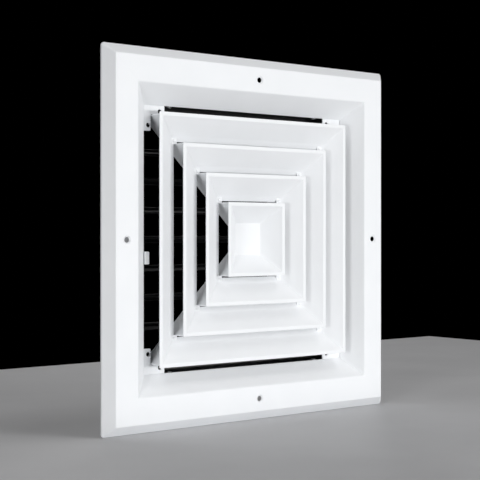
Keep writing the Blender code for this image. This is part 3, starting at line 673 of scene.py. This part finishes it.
def pan_screw(name, head_at, axis, length, head_radius, head_height, shank_radius, pitch):
    """Pan head with a cross recess, and a shank ringed by its thread's crests."""
    outline = [(0.0, 0.0), (0.0, head_radius * 0.5), (head_height * 0.18, head_radius * 0.78),
               (head_height * 0.5, head_radius * 0.96), (head_height * 0.85, head_radius),
               (head_height, head_radius * 0.96), (head_height, shank_radius * 0.86)]
    place = head_height + 0.4 * MM
    end = head_height + length - min(1.6 * shank_radius, 0.4 * length)
    while place + pitch < end:
        outline += [(place, shank_radius * 0.84), (place + pitch * 0.45, shank_radius),
                    (place + pitch * 0.55, shank_radius), (place + pitch * 0.98, shank_radius * 0.84)]
        place += pitch
    outline += [(end, shank_radius * 0.84), (head_height + length * 0.95, shank_radius * 0.2),
                (head_height + length, 0.0)]
    bm = bmesh.new()
    turned(bm, outline, head_at, axis, 32)
    screw = new_object(name, bm, 40)
    return carve(screw, screw_recess(head_at, axis, head_radius * 0.52, head_height * 0.75))


def make_screws():
    for side, sign in (("top", 1), ("bottom", -1)):
        for place in ("left", "right"):
            node = f"damper_screw_{side}_{place}"
            lo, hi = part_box(node)
            centre = (lo + hi) / 2
            head_z = lo.z if sign > 0 else hi.z
            length = hi.z - lo.z - DAMPER_SCREW["head_height"]
            screw = pan_screw(f"pan_screw_{side}_{place}", (centre.x, centre.y, head_z), (0, 0, sign), length,
                              **DAMPER_SCREW)
            finish_piece(screw, "diffuser_frame", "zinc_steel", ZINC, node)
    lo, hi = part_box("hub_screw")
    length = hi.y - lo.y - HUB_SCREW["head_height"]
    screw = pan_screw("hub_pan_screw", (0, hi.y, 0), (0, -1, 0), length, **HUB_SCREW)
    finish_piece(screw, "core", "zinc_steel", ZINC, "hub_screw")


def make_shaft_bushes():
    """Flanged nylon bushes pressed in the damper frame around every shaft end."""
    wall = damper_hi.z - DAMPER_SHEET
    bore, flange = BUSH_BORE_RADIUS, BUSH_FLANGE_RADIUS
    outline = [(wall - 0.05 * MM, bore), (wall - 0.05 * MM, BUSH_RADIUS), (wall + 1.1 * MM, BUSH_RADIUS),
               (wall + 1.12 * MM, flange), (wall + 1.55 * MM, flange), (wall + 1.8 * MM, flange - 0.3 * MM),
               (wall + 1.8 * MM, bore)]
    for number in range(1, BLADE_COUNT + 1):
        centre = blade_box(number)[2]
        for place, sign in (("left", -1), ("right", 1)):
            bm = bmesh.new()
            turned(bm, outline, (0, centre.y, centre.z), (sign, 0, 0), 32, closed=True)
            bush = new_object(f"shaft_bush_{place}_{number}", bm, 40)
            finish_piece(bush, "diffuser_frame", "white_nylon", NYLON)


def make_frame_rivets():
    """Domed rivets through the folded corner tabs of the damper frame."""
    outer, inset = damper_hi.z - 0.05 * MM, damper_hi.z - RIVET_INSET
    dome = [(0.0, 2.4 * MM), (0.3 * MM, 2.3 * MM), (0.75 * MM, 1.7 * MM), (1.0 * MM, 0.8 * MM),
            (1.05 * MM, 0.0)]
    for corner, (sx, sz) in CORNERS.items():
        for index in range(2):
            y = damper_hi.y - RIVET_INSET - index * RIVET_PITCH
            for name, axis, centre in (("side", (sx, 0, 0), (sx * outer, y, sz * inset)),
                                       ("level", (0, 0, sz), (sx * inset, y, sz * outer))):
                bm = bmesh.new()
                turned(bm, dome, centre, axis, 24)
                rivet = new_object(f"frame_rivet_{corner}_{name}_{index + 1}", bm, 50)
                finish_piece(rivet, "diffuser_frame", "zinc_steel", ZINC)


def make_lever():
    """Moulded lever: flat grip in the throat, a neck past its edge and an arm that steps over to the bar."""
    lo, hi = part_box("damper_lever")
    tab_back, jog = lo.y + GRIP_THICKNESS, lo.y + LEVER_JOG_DEPTH
    neck_outer, neck_inner, arm_outer, arm_inner = (lo.x + step * MM for step in (1.3, 2.5, 0.8, 1.8))
    points = [
        ((lo.x, lo.y), 0.3), ((hi.x, lo.y), 0.5), ((hi.x, tab_back), 0.3), ((neck_inner, tab_back), 0.6),
        ((neck_inner, jog), 0.3), ((arm_inner, jog + 0.7 * MM), 0.3), ((arm_inner, hi.y), 0.4),
        ((arm_outer, hi.y), 0.4), ((arm_outer, jog + 0.5 * MM), 0.2), ((neck_outer, jog), 0.2),
        ((neck_outer, tab_back), 0.4), ((lo.x, tab_back), 0.3),
    ]
    section = filleted([p for p, _ in points], [radius * MM for _, radius in points], 12)
    bm = bmesh.new()
    slab(bm, [(x, y, lo.z) for x, y in section], (0, 0, hi.z - lo.z))
    lever = new_object("lever_tab", bm)
    cutters = []
    radius, past = GRIP_CORNER_RADIUS, 1 * MM
    for end, sign in ((lo.z, 1), (hi.z, -1)):
        centre = (hi.x - radius, end + sign * radius)
        outline = [(centre[0], end - sign * past), (hi.x + past, end - sign * past), (hi.x + past, centre[1])]
        for step in range(9):
            angle = math.pi / 2 * step / 8
            outline.append((centre[0] + radius * math.cos(angle), centre[1] - sign * radius * math.sin(angle)))
        cutter = bmesh.new()
        slab(cutter, [(x, lo.y - past, z) for x, z in outline], (0, 3.5 * MM, 0))
        cutters.append(cutter)
    carve(lever, cutters)
    bevelled(lever, 0.2 * MM, 3)
    finish_piece(lever, "linkage", "white_nylon", NYLON, "damper_lever")


def make_all():
    make_frame()
    make_brackets()
    make_louvres()
    make_corner_tabs()
    make_centre()
    make_blades()
    make_screws()
    make_shaft_bushes()
    make_frame_rivets()
    make_lever()
    for corner in CORNERS:
        dress_node(f"spoke_{corner}", WHITE, 0.25 * MM)
        dress_node(f"core_clip_{corner}", SPRING, 0.08 * MM)
    dress_node("core_hub", WHITE, 0.3 * MM)
    for side in SIDES:
        dress_node(f"damper_frame_{side}", BLACK, 0.3 * MM)
    for number in range(1, BLADE_COUNT + 1):
        dress_node(f"blade_shaft_{number}", ZINC, 0.15 * MM)
    dress_node("linkage_bar", ZINC, 0.15 * MM)


# --- floor, light and camera --------------------------------------------------------------------------
def make_floor():
    bm = bmesh.new()
    z = cad_box[0].z - FLOOR_GAP
    wide = FLOOR_HALF_WIDTH
    outline = [(-wide, FLOOR_FRONT_Y), (wide, FLOOR_FRONT_Y), (wide, FLOOR_BACK_Y), (-wide, FLOOR_BACK_Y)]
    slab(bm, [(x, y, z) for x, y in outline], (0, 0, -FLOOR_THICKNESS))
    floor = new_object("floor", bm)
    material, shader = base_material("pale_floor", (0.62, 0.62, 0.63), 0.6)
    tree = material.node_tree
    coords = tree.nodes.new("ShaderNodeTexCoord").outputs["Object"]
    clouds = add_noise(tree, coords, 6.0, 3.0)
    tree.links.new(ramp(tree, clouds, (0.60, 0.60, 0.61), (0.64, 0.64, 0.65)), shader.inputs["Base Color"])
    floor.data.materials.append(material)


def softbox(name, place, size, power):
    """Rectangular area lamp aimed at the origin."""
    light = bpy.data.lights.new(name, "AREA")
    light.shape = "RECTANGLE"
    light.size, light.size_y = size
    light.energy = power
    obj = bpy.data.objects.new(name, light)
    obj.location = place
    obj.rotation_euler = (Vector() - Vector(place)).to_track_quat("-Z", "Y").to_euler()
    bpy.context.scene.collection.objects.link(obj)


def make_lights():
    softbox("front_low", (0, -2.3, -0.14), (1.1, 0.28), 18.0)
    softbox("front_right_low", (1.08, -2.03, -0.14), (1.1, 0.28), 10.5)
    softbox("left_low", (-2.02, -1.1, -0.1), (0.4, 0.28), 11.0)
    softbox("front_right", (1.05, -2.13, 0.77), (1.1, 0.9), 16.5)
    softbox("left_high", (-1.66, -0.96, 1.6), (0.5, 0.9), 6.0)
    softbox("top_right", (0.75, -0.69, 2.28), (1.1, 0.9), 10.0)
    softbox("rear_right", (1.3, 2.1, 1.7), (1.2, 1.2), 12.0)
    softbox("rear_top", (0.0, 1.7, 2.2), (1.2, 1.2), 8.0)
    world = bpy.data.worlds.new("studio")
    bpy.context.scene.world = world
    world.use_nodes = True
    background = world.node_tree.nodes["Background"]
    background.inputs["Color"].default_value = (0.0, 0.0, 0.0, 1.0)
    background.inputs["Strength"].default_value = 0.0


def make_camera():
    """Level camera to the left of the face's normal, aimed just beside the face's centre."""
    yaw = math.radians(CAMERA_YAW)
    forward = Vector((math.sin(yaw), math.cos(yaw), 0.0))
    right = Vector((math.cos(yaw), -math.sin(yaw), 0.0))
    place = Vector((0, FACE_Y, 0)) - forward * CAMERA_DISTANCE - right * CAMERA_LEFT + Vector((0, 0, CAMERA_UP))
    data = bpy.data.cameras.new("camera")
    data.sensor_width = 36.0
    data.lens = CAMERA_LENS
    data.shift_y = CAMERA_SHIFT_Y
    data.clip_start = 0.05
    data.clip_end = 50.0
    camera = bpy.data.objects.new("camera", data)
    camera.location = place
    camera.rotation_euler = forward.to_track_quat("-Z", "Y").to_euler()
    bpy.context.scene.collection.objects.link(camera)
    bpy.context.scene.camera = camera


bpy.context.scene.view_settings.view_transform = "Standard"
make_camera()
make_all()
make_floor()
make_lights()
